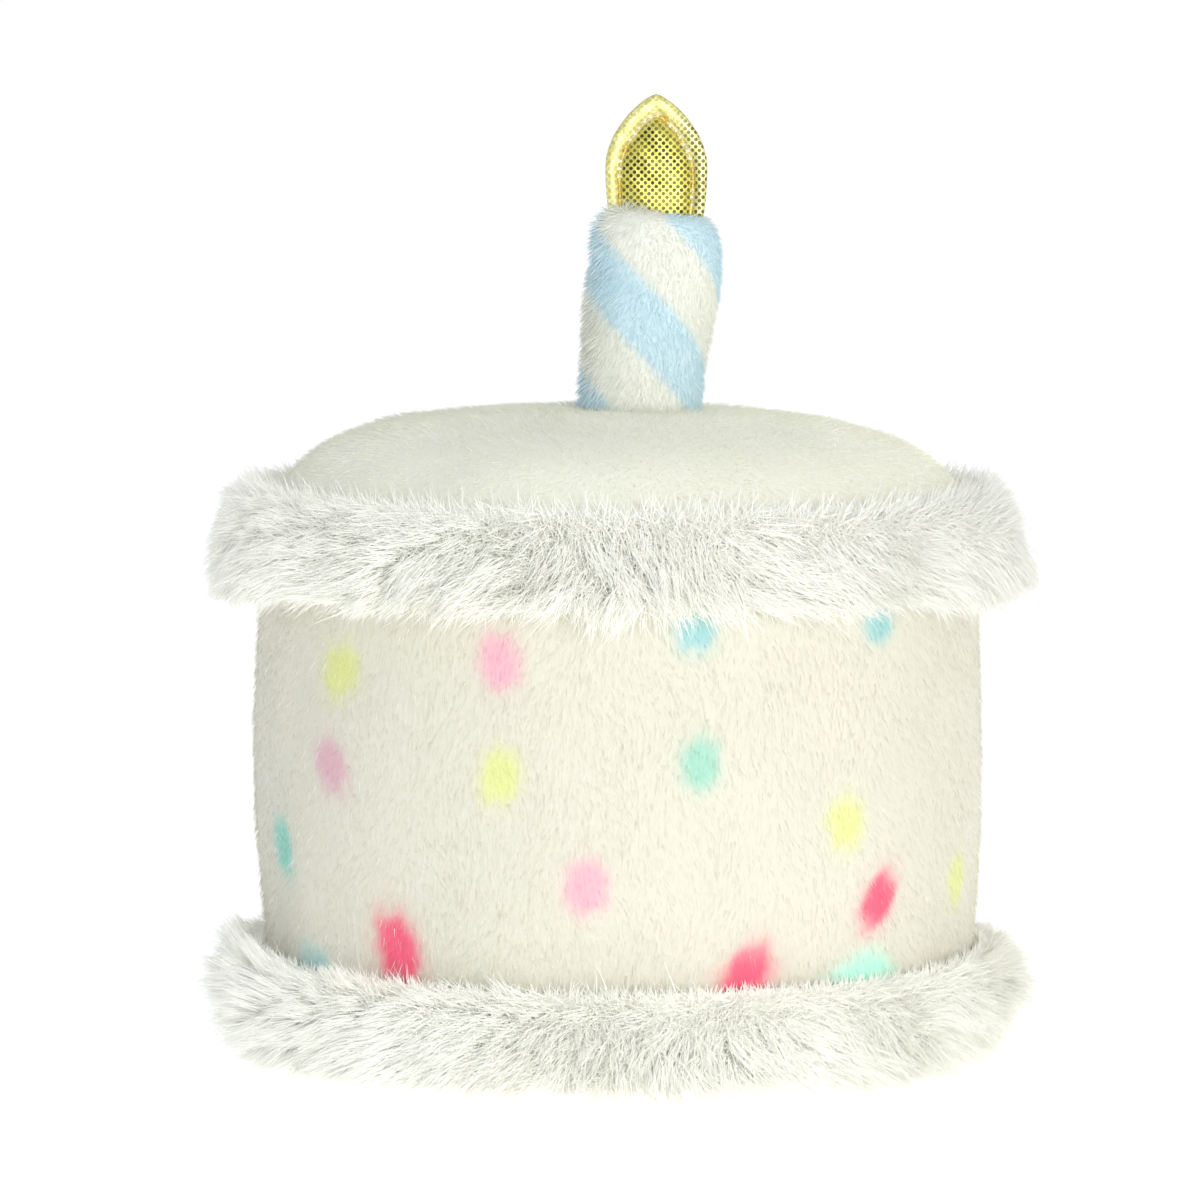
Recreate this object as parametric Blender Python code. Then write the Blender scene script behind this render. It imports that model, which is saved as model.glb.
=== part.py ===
"""Plush toy birthday cake with one candle.

A stuffed drum of short-pile plush stands on a round base panel. A shaggy frill runs round its lower
seam and another round its upper seam, over the rim of the domed top. A striped plush candle leans a
little to +X on the dome, and a thin padded flame stands on the candle.

Metres, +Z up. The origin is on the floor, on the axis of the cake, and the shown side faces -Y.
"""

import random
from math import cos, pi, radians, sin

import bmesh
import bpy
from mathutils import Matrix, Vector

# Driving dimensions of the cake
GAP = 0.0003
FLOOR_GAP = 0.0003
STEPS_ROUND = 48
BASE_FLAT_RADIUS = 0.0505
SEAM_LOW_Z = 0.0080
SEAM_LOW_RADIUS = 0.0554
SEAM_HIGH_Z = 0.0820
SEAM_HIGH_RADIUS = 0.0561
SIDE_BELLY = 0.0017
DOME_RISE = 0.0186
DOME_FLATNESS = 3.5
DOME_SHOULDER = 1.7

# Frills: the pad's thickness over its seam and at its edges, and where it starts and ends on the body
FRILL_PAD = 0.0042
FRILL_EDGE = 0.0008
FRILL_FULLNESS = 0.6
TOP_FRILL_LOW_Z = 0.0735
TOP_FRILL_INNER_RADIUS = 0.0535
TOP_FRILL_DROOP = 0.0018
TOP_FRILL_SEED = 11
BOTTOM_FRILL_HIGH_Z = 0.0175
BOTTOM_FRILL_INNER_RADIUS = 0.0541
BOTTOM_FRILL_DROOP = 0.0014
BOTTOM_FRILL_SEED = 23

# Locks of fur: rows at these shares of the pad's section, from its lower edge to its upper one
LOCK_SIDES = 4
LOCK_WIDTH = 0.0068
LOCK_ROOT_DEPTH = 0.0022
LOCK_LENGTH = 0.0080
LOCK_STATIONS = ((0.4, 1.0), (0.35, 0.6))
LOCK_TIP = 0.25
LOCK_ROWS = (0.14, 0.38, 0.62, 0.85)
LOCKS_PER_ROW = 24
LOCK_STAGGER = 0.22
LOCK_SHIFT = 0.0008
LOCK_SWAY = 0.8
LOCK_SAG = 0.5
LOCK_CURL = 0.0012

# Candle and flame
CANDLE_FOOT_X = 0.0034
CANDLE_LEAN = radians(5.9)
CANDLE_LENGTH = 0.0302
CANDLE_RADIUS = 0.0097
CANDLE_SWELL = 0.0008
CANDLE_CROWN_RADIUS = 0.0078
CANDLE_SHOULDER = 0.0042
CANDLE_SIDES = 24
FLAME_HEIGHT = 0.0190
FLAME_HALF_WIDTH = 0.0079
FLAME_RIM_THICKNESS = 0.0010
FLAME_SHIFT_X = -0.0009
FLAME_PAD_STEPS = ((0.82, 0.0003), (0.77, -0.0004), (0.72, 0.0004), (0.52, 0.0008), (0.24, 0.0003))

# Colours, linear
CREAM = (0.87, 0.85, 0.72)
WARM_WHITE = (0.89, 0.88, 0.80)
FUR_WHITE = (0.86, 0.87, 0.81)
CANDLE_WHITE = (0.86, 0.88, 0.82)
GOLD = (0.82, 0.76, 0.25)


def clear_scene():
    for obj in list(bpy.data.objects):
        bpy.data.objects.remove(obj, do_unlink=True)


def fabric(name, colour, roughness, metallic=0.0, sheen=0.0):
    """A plain Principled finish for one sub-part."""
    material = bpy.data.materials.new(name)
    material.use_nodes = True
    shader = material.node_tree.nodes["Principled BSDF"]
    shader.inputs["Base Color"].default_value = (*colour, 1.0)
    shader.inputs["Roughness"].default_value = roughness
    shader.inputs["Metallic"].default_value = metallic
    shader.inputs["Sheen Weight"].default_value = sheen
    material.diffuse_color = (*colour, 1.0)
    return material


def add_object(name, bm, material, collection=None):
    """Puts a finished bmesh into the scene, shaded smooth except along its creases."""
    mesh = bpy.data.meshes.new(name)
    bmesh.ops.recalc_face_normals(bm, faces=bm.faces)
    bm.to_mesh(mesh)
    bm.free()
    mesh.shade_smooth()
    mesh.set_sharp_from_angle(angle=radians(50))
    obj = bpy.data.objects.new(name, mesh)
    if material:
        mesh.materials.append(material)
    (collection or bpy.context.scene.collection).objects.link(obj)
    return obj


def spun(outline, closed=False, steps=STEPS_ROUND):
    """A bmesh turned round the Z axis from (radius, height) points."""
    bm = bmesh.new()
    points = [bm.verts.new((radius, 0.0, height)) for radius, height in outline]
    edges = [bm.edges.new(pair) for pair in zip(points, points[1:])]
    if closed:
        edges.append(bm.edges.new((points[-1], points[0])))
    bmesh.ops.spin(
        bm, geom=points + edges, cent=(0, 0, 0), axis=(0, 0, 1),
        angle=2 * pi, steps=steps, use_merge=True,
    )
    bmesh.ops.remove_doubles(bm, verts=bm.verts, dist=1e-6)
    bmesh.ops.recalc_face_normals(bm, faces=bm.faces)
    return bm


def base_outline(grow=0.0, steps=4):
    """The base panel's turned-up edge, from its flat underside to the lower seam."""
    turn = SEAM_LOW_RADIUS - BASE_FLAT_RADIUS + grow
    rise = SEAM_LOW_Z + grow
    angles = [pi / 2 * step / steps for step in range(steps + 1)]
    return [(BASE_FLAT_RADIUS + turn * sin(a), SEAM_LOW_Z - rise * cos(a)) for a in angles]


def side_radius(height):
    """The stuffed wall's radius: a straight line between its seams, and a belly on it."""
    share = (height - SEAM_LOW_Z) / (SEAM_HIGH_Z - SEAM_LOW_Z)
    straight = SEAM_LOW_RADIUS + (SEAM_HIGH_RADIUS - SEAM_LOW_RADIUS) * share
    return straight + SIDE_BELLY * sin(pi * share)


def side_outline(low, high, grow=0.0, steps=6):
    heights = [low + (high - low) * step / steps for step in range(steps + 1)]
    return [(side_radius(height) + grow, height) for height in heights]


def dome_outline(grow=0.0, steps=9):
    """The domed top from its rim to its crest: flat in the middle, round at the shoulder."""
    outline = []
    for step in range(steps + 1):
        angle = pi / 2 * step / steps
        radius = (SEAM_HIGH_RADIUS + grow) * max(cos(angle), 0.0) ** (2 / DOME_FLATNESS)
        height = (DOME_RISE + grow) * sin(angle) ** (2 / DOME_SHOULDER)
        outline.append((radius if step < steps else 0.0, SEAM_HIGH_Z + height))
    return outline


def body_outline(grow=0.0):
    """The whole stuffed body, from the flat underside to the crest."""
    side = side_outline(SEAM_LOW_Z, SEAM_HIGH_Z, grow)
    return base_outline(grow) + side[1:-1] + dome_outline(grow)


def make_cake_base():
    outline = [(0.0, 0.0)] + base_outline() + [(0.0, SEAM_LOW_Z)]
    plush = fabric("base panel plush", WARM_WHITE, 0.9, sheen=0.3)
    return add_object("cake_base", spun(outline), plush)


def make_cake_side():
    low, high = SEAM_LOW_Z + GAP, SEAM_HIGH_Z - GAP
    outline = [(0.0, low)] + side_outline(low, high) + [(0.0, high)]
    return add_object("cake_side", spun(outline), fabric("side plush", CREAM, 0.9, sheen=0.4))


def make_cake_top():
    outline = [(0.0, SEAM_HIGH_Z)] + dome_outline()
    return add_object("cake_top", spun(outline), fabric("top plush", CREAM, 0.9, sheen=0.4))


def along(points, share):
    """The point at this share of a polyline's length, and its unit normal away from the body."""
    pairs = list(zip(points, points[1:]))
    lengths = [(Vector(b) - Vector(a)).length for a, b in pairs]
    left = share * sum(lengths)
    for (a, b), length in zip(pairs, lengths):
        if left <= length or (a, b) == pairs[-1]:
            break
        left -= length
    direction = (Vector(b) - Vector(a)).normalized()
    return Vector(a) + direction * left, Vector((direction.y, -direction.x))


def pad_thickness(share):
    """A frill's pad is full over its seam and thins to its two edges."""
    return FRILL_EDGE + FRILL_PAD * max(sin(pi * share), 0.0) ** FRILL_FULLNESS


def pad_outline(line, steps=8):
    """The closed section of a frill's pad, which lies along a stretch of the body's outline."""
    outer, inner = [], []
    for step in range(steps + 1):
        point, normal = along(line, step / steps)
        outer.append(tuple(point + normal * pad_thickness(step / steps)))
        inner.append(tuple(point - normal * 2 * GAP))
    return outer + inner[::-2]


def lock(root, direction, bend, length, width):
    """One lock of fur: a tapering, bent spike that starts inside the pad."""
    bm = bmesh.new()
    bmesh.ops.create_circle(bm, cap_ends=True, segments=LOCK_SIDES, radius=width / 2)
    foot = face = bm.faces[:][0]
    for reach, share in LOCK_STATIONS:
        made = bmesh.ops.extrude_face_region(bm, geom=[face])
        if face is not foot:
            bmesh.ops.delete(bm, geom=[face], context="FACES_ONLY")
        face = next(item for item in made["geom"] if isinstance(item, bmesh.types.BMFace))
        bmesh.ops.scale(bm, verts=face.verts, vec=(share, share, 1.0))
        bmesh.ops.translate(bm, verts=face.verts, vec=(0, 0, reach * length))
    tip = bmesh.ops.poke(bm, faces=[face])["verts"]
    bmesh.ops.translate(bm, verts=tip, vec=(0, 0, LOCK_TIP * length))
    turn = Vector((0, 0, 1)).rotation_difference(direction).to_matrix().to_4x4()
    bmesh.ops.transform(bm, matrix=Matrix.Translation(root) @ turn, verts=bm.verts)
    for vert in bm.verts:
        share = (vert.co - root).dot(direction) / length
        vert.co += bend * share * share
    return bm


def add_locks(collection, line, seed, droop):
    """Rows of locks that stand out from a frill's pad, staggered, uneven and bent a little down."""
    draw = random.Random(seed)
    for row, share in enumerate(LOCK_ROWS):
        point, normal = along(line, share)
        start = point + normal * (pad_thickness(share) - LOCK_ROOT_DEPTH)
        for number in range(LOCKS_PER_ROW):
            place = number + 0.5 * (row % 2) + draw.uniform(-LOCK_STAGGER, LOCK_STAGGER)
            turn = 2 * pi * place / LOCKS_PER_ROW
            out = Vector((cos(turn), sin(turn), 0))
            sideways = Vector((-sin(turn), cos(turn), 0))
            root = out * start.x + Vector((0, 0, start.y + draw.uniform(-LOCK_SHIFT, LOCK_SHIFT)))
            direction = out * (normal.x + 0.2) + Vector((0, 0, normal.y - draw.uniform(0.0, LOCK_SAG)))
            direction += sideways * draw.uniform(-LOCK_SWAY, LOCK_SWAY)
            length = LOCK_LENGTH * draw.uniform(0.82, 1.16)
            bend = sideways * draw.uniform(-LOCK_CURL, LOCK_CURL)
            bend -= Vector((0, 0, droop * draw.uniform(0.5, 1.3)))
            width = LOCK_WIDTH * draw.uniform(0.85, 1.15)
            bm = lock(root, direction.normalized(), bend, length, width)
            add_object(f"lock_{row}_{number}", bm, None, collection)


def cut(obj, other):
    """Takes one solid out of another for good."""
    modifier = obj.modifiers.new("cut", "BOOLEAN")
    modifier.operation = "DIFFERENCE"
    modifier.solver = "MANIFOLD"
    modifier.object = other
    apply_modifiers(obj)
    bpy.data.objects.remove(other, do_unlink=True)


def fuse(obj, collection):
    """Joins every solid of the collection to the object, and removes the collection."""
    modifier = obj.modifiers.new("locks", "BOOLEAN")
    modifier.operation = "UNION"
    modifier.solver = "MANIFOLD"
    modifier.operand_type = "COLLECTION"
    modifier.collection = collection
    apply_modifiers(obj)
    for piece in list(collection.objects):
        bpy.data.objects.remove(piece, do_unlink=True)
    bpy.data.collections.remove(collection)


def apply_modifiers(obj):
    """Replaces the object's mesh by what its modifiers make of it."""
    bpy.context.view_layer.update()
    graph = bpy.context.evaluated_depsgraph_get()
    mesh = bpy.data.meshes.new_from_object(obj.evaluated_get(graph))
    obj.modifiers.clear()
    obj.data = mesh


def floor_slab():
    """Everything below the frill's clearance over the floor."""
    bm = bmesh.new()
    depth = 0.02
    bmesh.ops.create_cube(bm, size=1.0)
    bmesh.ops.scale(bm, verts=bm.verts, vec=(0.3, 0.3, depth))
    bmesh.ops.translate(bm, verts=bm.verts, vec=(0, 0, FLOOR_GAP - depth / 2))
    return add_object("floor_slab", bm, None)


def make_frill(name, line, seed, droop, material):
    """A pad along the seam with its locks fused on, cut clear of the body and of the floor."""
    frill = add_object(name, spun(pad_outline(line), closed=True), material)
    locks = bpy.data.collections.new("locks")
    bpy.context.scene.collection.children.link(locks)
    add_locks(locks, line, seed, droop)
    fuse(frill, locks)
    cut(frill, add_object("body_room", spun([(0.0, -GAP)] + body_outline(GAP)), None))
    cut(frill, floor_slab())
    frill.data.shade_smooth()
    frill.data.set_sharp_from_angle(angle=radians(50))
    return frill


def make_top_frill():
    rim = [point for point in dome_outline() if point[0] >= TOP_FRILL_INNER_RADIUS]
    line = side_outline(TOP_FRILL_LOW_Z, SEAM_HIGH_Z, steps=4)[:-1] + rim
    fur = fabric("top frill fur", FUR_WHITE, 0.8, sheen=0.5)
    return make_frill("top_frill", line, TOP_FRILL_SEED, TOP_FRILL_DROOP, fur)


def make_bottom_frill():
    turned_up = [point for point in base_outline(steps=8) if point[0] >= BOTTOM_FRILL_INNER_RADIUS]
    line = turned_up[:-1] + side_outline(SEAM_LOW_Z, BOTTOM_FRILL_HIGH_Z, steps=4)
    fur = fabric("bottom frill fur", FUR_WHITE, 0.8, sheen=0.5)
    return make_frill("bottom_frill", line, BOTTOM_FRILL_SEED, BOTTOM_FRILL_DROOP, fur)


def candle_foot_z():
    return SEAM_HIGH_Z + DOME_RISE + GAP


def candle_axis():
    return Vector((sin(CANDLE_LEAN), 0, cos(CANDLE_LEAN)))


def candle_turn():
    """Upright drawing space to the leaning candle: its foot's centre, and its lean about Y."""
    foot = Vector((CANDLE_FOOT_X, 0, candle_foot_z()))
    return Matrix.Translation(foot) @ Matrix.Rotation(CANDLE_LEAN, 4, "Y")


def candle_outline():
    """The stuffed tube swells a little above its middle and rounds in to its crown."""
    spare = CANDLE_RADIUS * sin(CANDLE_LEAN) * 1.5
    straight = CANDLE_LENGTH - CANDLE_SHOULDER
    outline = [(0.0, -spare), (CANDLE_RADIUS, -spare)]
    for step in range(1, 7):
        share = step / 6
        swell = CANDLE_SWELL * share * share * (3 - 2 * share)
        outline.append((CANDLE_RADIUS + swell, straight * share))
    wide = CANDLE_RADIUS + CANDLE_SWELL
    for step in range(1, 6):
        angle = pi / 2 * step / 5
        radius = CANDLE_CROWN_RADIUS + (wide - CANDLE_CROWN_RADIUS) * cos(angle)
        outline.append((radius, straight + CANDLE_SHOULDER * sin(angle)))
    return outline + [(0.0, CANDLE_LENGTH)]


def keep_above(bm, point, normal):
    """Slices a closed shape by a plane and closes what is left on the normal's side."""
    everything = bm.verts[:] + bm.edges[:] + bm.faces[:]
    sliced = bmesh.ops.bisect_plane(
        bm, geom=everything, plane_co=point, plane_no=normal, clear_inner=True
    )
    rim = [item for item in sliced["geom_cut"] if isinstance(item, bmesh.types.BMEdge)]
    bmesh.ops.holes_fill(bm, edges=rim, sides=0)


def make_candle():
    bm = spun(candle_outline(), steps=CANDLE_SIDES)
    bmesh.ops.transform(bm, matrix=candle_turn(), verts=bm.verts)
    keep_above(bm, (0, 0, candle_foot_z()), (0, 0, 1))
    return add_object("candle", bm, fabric("candle plush", CANDLE_WHITE, 0.9, sheen=0.4))


def flame_half_width(share):
    """Half the leaf's width at this share of its height, measured down from the tip."""
    if share < 0.6:
        return FLAME_HALF_WIDTH * sin(pi / 2 * share / 0.6) ** 0.7
    return FLAME_HALF_WIDTH * (1 - 0.07 * ((share - 0.6) / 0.4) ** 2)


def flame_outline(steps=12):
    """The leaf's outline, from one foot corner over the tip to the other."""
    shares = [(step / steps) ** 1.35 for step in range(1, steps + 1)]
    right = [(flame_half_width(share), FLAME_HEIGHT * (1 - share)) for share in shares]
    left = [(-x, z) for x, z in right]
    return left[::-1] + [(0.0, FLAME_HEIGHT)] + right


def pad_face(bm, face, outward):
    """One side's border, its stitched groove and its padded middle, each the outline drawn smaller."""
    size_now = 1.0
    for size, rise in FLAME_PAD_STEPS:
        made = bmesh.ops.extrude_face_region(bm, geom=[face])
        bmesh.ops.delete(bm, geom=[face], context="FACES_ONLY")
        face = next(item for item in made["geom"] if isinstance(item, bmesh.types.BMFace))
        share = size / size_now
        bmesh.ops.scale(bm, verts=face.verts, vec=(share, 1.0, share))
        bmesh.ops.translate(bm, verts=face.verts, vec=(0, outward * rise, 0))
        size_now = size


def make_flame():
    """A thin padded leaf that stands upright on the candle's tilted crown, cut to the crown's slope."""
    bm = bmesh.new()
    crown = candle_turn() @ Vector((0, 0, CANDLE_LENGTH))
    foot_plane = crown + candle_axis() * GAP
    half = FLAME_RIM_THICKNESS / 2
    corners = [bm.verts.new((x, -half, z)) for x, z in flame_outline()]
    front = bmesh.ops.contextual_create(bm, geom=corners)["faces"][0]
    made = bmesh.ops.extrude_face_region(bm, geom=[front], use_keep_orig=True)["geom"]
    back = next(item for item in made if isinstance(item, bmesh.types.BMFace))
    far = [item for item in made if isinstance(item, bmesh.types.BMVert)]
    bmesh.ops.translate(bm, verts=far, vec=(0, FLAME_RIM_THICKNESS, 0))
    bmesh.ops.recalc_face_normals(bm, faces=bm.faces)
    pad_face(bm, front, -1)
    pad_face(bm, back, 1)
    drop = FLAME_HALF_WIDTH * sin(CANDLE_LEAN) * 1.3
    bmesh.ops.translate(bm, verts=bm.verts, vec=(foot_plane.x + FLAME_SHIFT_X, 0, foot_plane.z - drop))
    keep_above(bm, foot_plane, candle_axis())
    bmesh.ops.triangulate(bm, faces=bm.faces)
    return add_object("flame", bm, fabric("gold lame", GOLD, 0.35, metallic=0.6))


def main():
    clear_scene()
    make_cake_base()
    make_cake_side()
    make_cake_top()
    make_top_frill()
    make_bottom_frill()
    make_candle()
    make_flame()


main()
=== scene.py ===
"""Looks of a plush toy birthday cake: short pile, two shaggy frills, a striped candle and a padded flame."""

from math import cos, pi, radians, sin

import bmesh
import bpy
import numpy as np
from mathutils import Matrix, Vector


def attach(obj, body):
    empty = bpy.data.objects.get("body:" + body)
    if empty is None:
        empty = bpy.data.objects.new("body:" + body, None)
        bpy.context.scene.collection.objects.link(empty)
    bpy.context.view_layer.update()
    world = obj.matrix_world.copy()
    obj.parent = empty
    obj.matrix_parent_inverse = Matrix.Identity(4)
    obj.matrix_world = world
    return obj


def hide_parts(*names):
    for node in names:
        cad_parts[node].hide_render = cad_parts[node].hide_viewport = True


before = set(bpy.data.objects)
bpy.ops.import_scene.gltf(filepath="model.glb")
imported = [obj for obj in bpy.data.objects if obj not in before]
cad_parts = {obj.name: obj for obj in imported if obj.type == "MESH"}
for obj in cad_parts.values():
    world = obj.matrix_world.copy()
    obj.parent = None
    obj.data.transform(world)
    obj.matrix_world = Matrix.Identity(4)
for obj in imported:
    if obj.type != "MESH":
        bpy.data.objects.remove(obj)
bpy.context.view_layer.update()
MM = 0.001

# The body, as in the solids, and how far its cloth lies under the tips of its pile
SEAM_LOW_Z = 0.0080
SEAM_LOW_RADIUS = 0.0554
SEAM_HIGH_Z = 0.0820
SEAM_HIGH_RADIUS = 0.0561
BASE_FLAT_RADIUS = 0.0505
SIDE_BELLY = 0.0017
DOME_RISE = 0.0186
DOME_FLATNESS = 3.5
DOME_SHOULDER = 1.7
PILE_DEPTH = 0.0011

# The frills' backing strips
FRILL_PAD = 0.0026
FRILL_EDGE = 0.0004
TOP_FRILL_LOW_Z = 0.0735
TOP_FRILL_INNER_RADIUS = 0.0535
BOTTOM_FRILL_HIGH_Z = 0.0163
BOTTOM_FRILL_INNER_RADIUS = 0.0541

# Candle and flame
CANDLE_FOOT_X = 0.0034
CANDLE_FOOT_Z = 0.1009
CANDLE_LEAN = radians(5.9)
CANDLE_LENGTH = 0.0302
CANDLE_RADIUS = 0.0097
CANDLE_SWELL = 0.0008
CANDLE_CROWN_RADIUS = 0.0064
CANDLE_SHOULDER = 0.0062
CANDLE_PILE = 0.0007
FLAME_HEIGHT = 0.0190
FLAME_HALF_WIDTH = 0.0079
FLAME_SHIFT_X = -0.0009

WORLD_LIGHT = 0.70
FRONT_LIGHT = 9.0

# Dyes, linear
CREAM = np.array((0.690, 0.673, 0.566))
# The top's cream is the wall's plush dyed much paler as painted light, making up for the light the top gets less of
TOP_CREAM_WITH_PAINTED_LIGHT = np.array((0.86, 0.865, 0.745))
FUR_WHITE = np.array((0.988, 0.988, 0.935))
CANDLE_WHITE = np.array((0.83, 0.84, 0.765))
SKY = np.array((0.62, 0.78, 0.83))
YELLOW = np.array((0.70, 0.74, 0.30))
PINK = np.array((0.80, 0.44, 0.51))
# Pink darkened as painted shade, for a pink dot on the shaded left; the back dots use it too
PINK_IN_PAINTED_SHADE = np.array((0.68, 0.43, 0.48))
BLUE = np.array((0.33, 0.60, 0.60))
MINT = np.array((0.35, 0.64, 0.51))
# Mint darkened as painted shade, for a mint dot on the shaded left
MINT_IN_PAINTED_SHADE = np.array((0.24, 0.62, 0.50))
CORAL = np.array((0.85, 0.11, 0.20))
PALE_MINT = np.array((0.48, 0.90, 0.74))
PALE_TEAL = np.array((0.46, 0.68, 0.64))

# Printed dots on the wall: azimuth from the front in degrees, height, half width and half height in
# millimetres, dye (pink and mint on the shaded left darkened as painted shade), slant, flat lower end
DOTS = [
    (-48.8, 62.7, 4.2, 4.1, YELLOW, 0.10, None),
    (-18.8, 65.7, 3.3, 4.3, PINK, -0.05, None),
    (11.5, 70.2, 3.0, 3.3, BLUE, 0.00, None),
    (43.9, 70.3, 3.0, 2.8, BLUE, 0.10, None),
    (-50.6, 48.4, 3.9, 4.2, PINK_IN_PAINTED_SHADE, -0.25, None),
    (-18.8, 48.5, 3.2, 4.2, YELLOW, 0.12, None),
    (12.1, 50.6, 2.9, 4.0, MINT, 0.05, None),
    (-67.6, 34.3, 4.6, 4.3, MINT_IN_PAINTED_SHADE, -0.30, None),
    (-5.3, 32.4, 3.2, 4.3, PINK, 0.05, None),
    (36.6, 40.8, 3.3, 4.2, YELLOW, -0.05, None),
    (-37.6, 21.2, 4.1, 5.7, CORAL, -0.25, None),
    (20.2, 19.4, 4.2, 5.2, CORAL, 0.35, 15.8),
    (43.7, 28.5, 3.4, 4.5, CORAL, 0.40, None),
    (41.6, 17.8, 6.0, 3.8, PALE_MINT, 0.10, 14.8),
    (-57.6, 17.0, 5.0, 3.2, PALE_TEAL, 0.00, None),
    (67.2, 29.1, 3.2, 3.8, YELLOW, 0.05, None),
]
BACK_DYES = (PINK, YELLOW, MINT, CORAL, BLUE, PINK_IN_PAINTED_SHADE)


# ---- Small tools ----

def wander(points, wavelength, seed):
    """A smooth random field with values mostly from -1 to 1, made of waves in all directions."""
    draw = np.random.default_rng(seed)
    total = np.zeros(len(points))
    for _ in range(7):
        way = draw.normal(size=points.shape[1])
        way *= 2 * pi / wavelength / np.linalg.norm(way) * draw.uniform(0.6, 1.5)
        total += np.sin(points @ way + draw.uniform(0, 2 * pi))
    return total / 2.6


def unit(vectors):
    return vectors / np.maximum(np.linalg.norm(vectors, axis=-1, keepdims=True), 1e-12)


def step_between(low, high, values):
    """0 below low, 1 above high, and smooth between them."""
    share = np.clip((values - low) / (high - low), 0, 1)
    return share * share * (3 - 2 * share)


def spun(outline, steps, closed=False):
    """A bmesh turned round the Z axis from (radius, height) points."""
    bm = bmesh.new()
    points = [bm.verts.new((radius, 0.0, height)) for radius, height in outline]
    edges = [bm.edges.new(pair) for pair in zip(points, points[1:])]
    if closed:
        edges.append(bm.edges.new((points[-1], points[0])))
    bmesh.ops.spin(
        bm, geom=points + edges, cent=(0, 0, 0), axis=(0, 0, 1),
        angle=2 * pi, steps=steps, use_merge=True,
    )
    bmesh.ops.remove_doubles(bm, verts=bm.verts, dist=1e-6)
    bmesh.ops.recalc_face_normals(bm, faces=bm.faces)
    return bm


def add_piece(name, mesh, material):
    mesh.materials.clear()
    mesh.materials.append(material)
    piece = bpy.data.objects.new(name, mesh)
    bpy.context.scene.collection.objects.link(piece)
    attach(piece, "root")
    return piece


def mesh_from(bm, name):
    mesh = bpy.data.meshes.new(name)
    bm.to_mesh(mesh)
    bm.free()
    mesh.shade_smooth()
    return mesh


def places(mesh):
    found = np.empty(len(mesh.vertices) * 3)
    mesh.vertices.foreach_get("co", found)
    return found.reshape(-1, 3)


def normals_of(mesh):
    found = np.empty(len(mesh.vertices) * 3)
    mesh.vertex_normals.foreach_get("vector", found)
    return found.reshape(-1, 3)


def move_to(mesh, points):
    mesh.vertices.foreach_set("co", np.asarray(points, np.float32).ravel())
    mesh.update()


def colour_points(mesh, name, colours):
    """Stores a colour for each vertex under this name."""
    layer = mesh.color_attributes.new(name, "FLOAT_COLOR", "POINT")
    full = np.ones((len(mesh.vertices), 4), np.float32)
    full[:, :3] = colours
    layer.data.foreach_set("color", full.ravel())


# ---- The body's outline ----

def base_outline(steps):
    turn = SEAM_LOW_RADIUS - BASE_FLAT_RADIUS
    angles = [pi / 2 * step / steps for step in range(steps + 1)]
    return [(BASE_FLAT_RADIUS + turn * sin(a), SEAM_LOW_Z - SEAM_LOW_Z * cos(a)) for a in angles]


def side_radius(height):
    share = (height - SEAM_LOW_Z) / (SEAM_HIGH_Z - SEAM_LOW_Z)
    straight = SEAM_LOW_RADIUS + (SEAM_HIGH_RADIUS - SEAM_LOW_RADIUS) * share
    return straight + SIDE_BELLY * np.sin(pi * share)


def side_outline(low, high, steps):
    heights = [low + (high - low) * step / steps for step in range(steps + 1)]
    return [(float(side_radius(height)), height) for height in heights]


def dome_outline(steps):
    outline = []
    for step in range(steps + 1):
        angle = pi / 2 * step / steps
        radius = SEAM_HIGH_RADIUS * max(cos(angle), 0.0) ** (2 / DOME_FLATNESS)
        height = DOME_RISE * sin(angle) ** (2 / DOME_SHOULDER)
        outline.append((radius if step < steps else 0.0, SEAM_HIGH_Z + height))
    return outline


def shrunk(outline, depth):
    """The outline moved inwards by the pile's depth, away from its normals."""
    points = np.array(outline)
    ways = unit(np.gradient(points, axis=0))
    out = np.stack([ways[:, 1], -ways[:, 0]], 1)
    moved = points - out * depth
    moved[np.array(outline)[:, 0] < 1e-9, 0] = 0.0
    return [(float(r), float(z)) for r, z in moved]


# ---- Fur ----

def strand_template(widest):
    """A closed three-sided strand of unit length on Z: its vertices and its faces' corners.

    It is a spike where widest is 0, and otherwise runs to a point at its root too.
    """
    bm = bmesh.new()
    bmesh.ops.create_cone(
        bm, cap_ends=True, segments=3, radius1=1.0, radius2=0.0, depth=1.0 - widest,
        matrix=Matrix.Translation((0, 0, (1.0 + widest) / 2)),
    )
    bmesh.ops.remove_doubles(bm, verts=bm.verts, dist=1e-5)
    if widest:
        foot = next(face for face in bm.faces if all(vert.co.z < widest + 1e-5 for vert in face.verts))
        point = bmesh.ops.poke(bm, faces=[foot])["verts"]
        bmesh.ops.translate(bm, verts=point, vec=(0, 0, -widest))
    bmesh.ops.recalc_face_normals(bm, faces=bm.faces)
    bm.verts.index_update()
    shape = np.array([tuple(vert.co) for vert in bm.verts])
    corners = [[vert.index for vert in face.verts] for face in bm.faces]
    bm.free()
    return shape, corners


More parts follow.
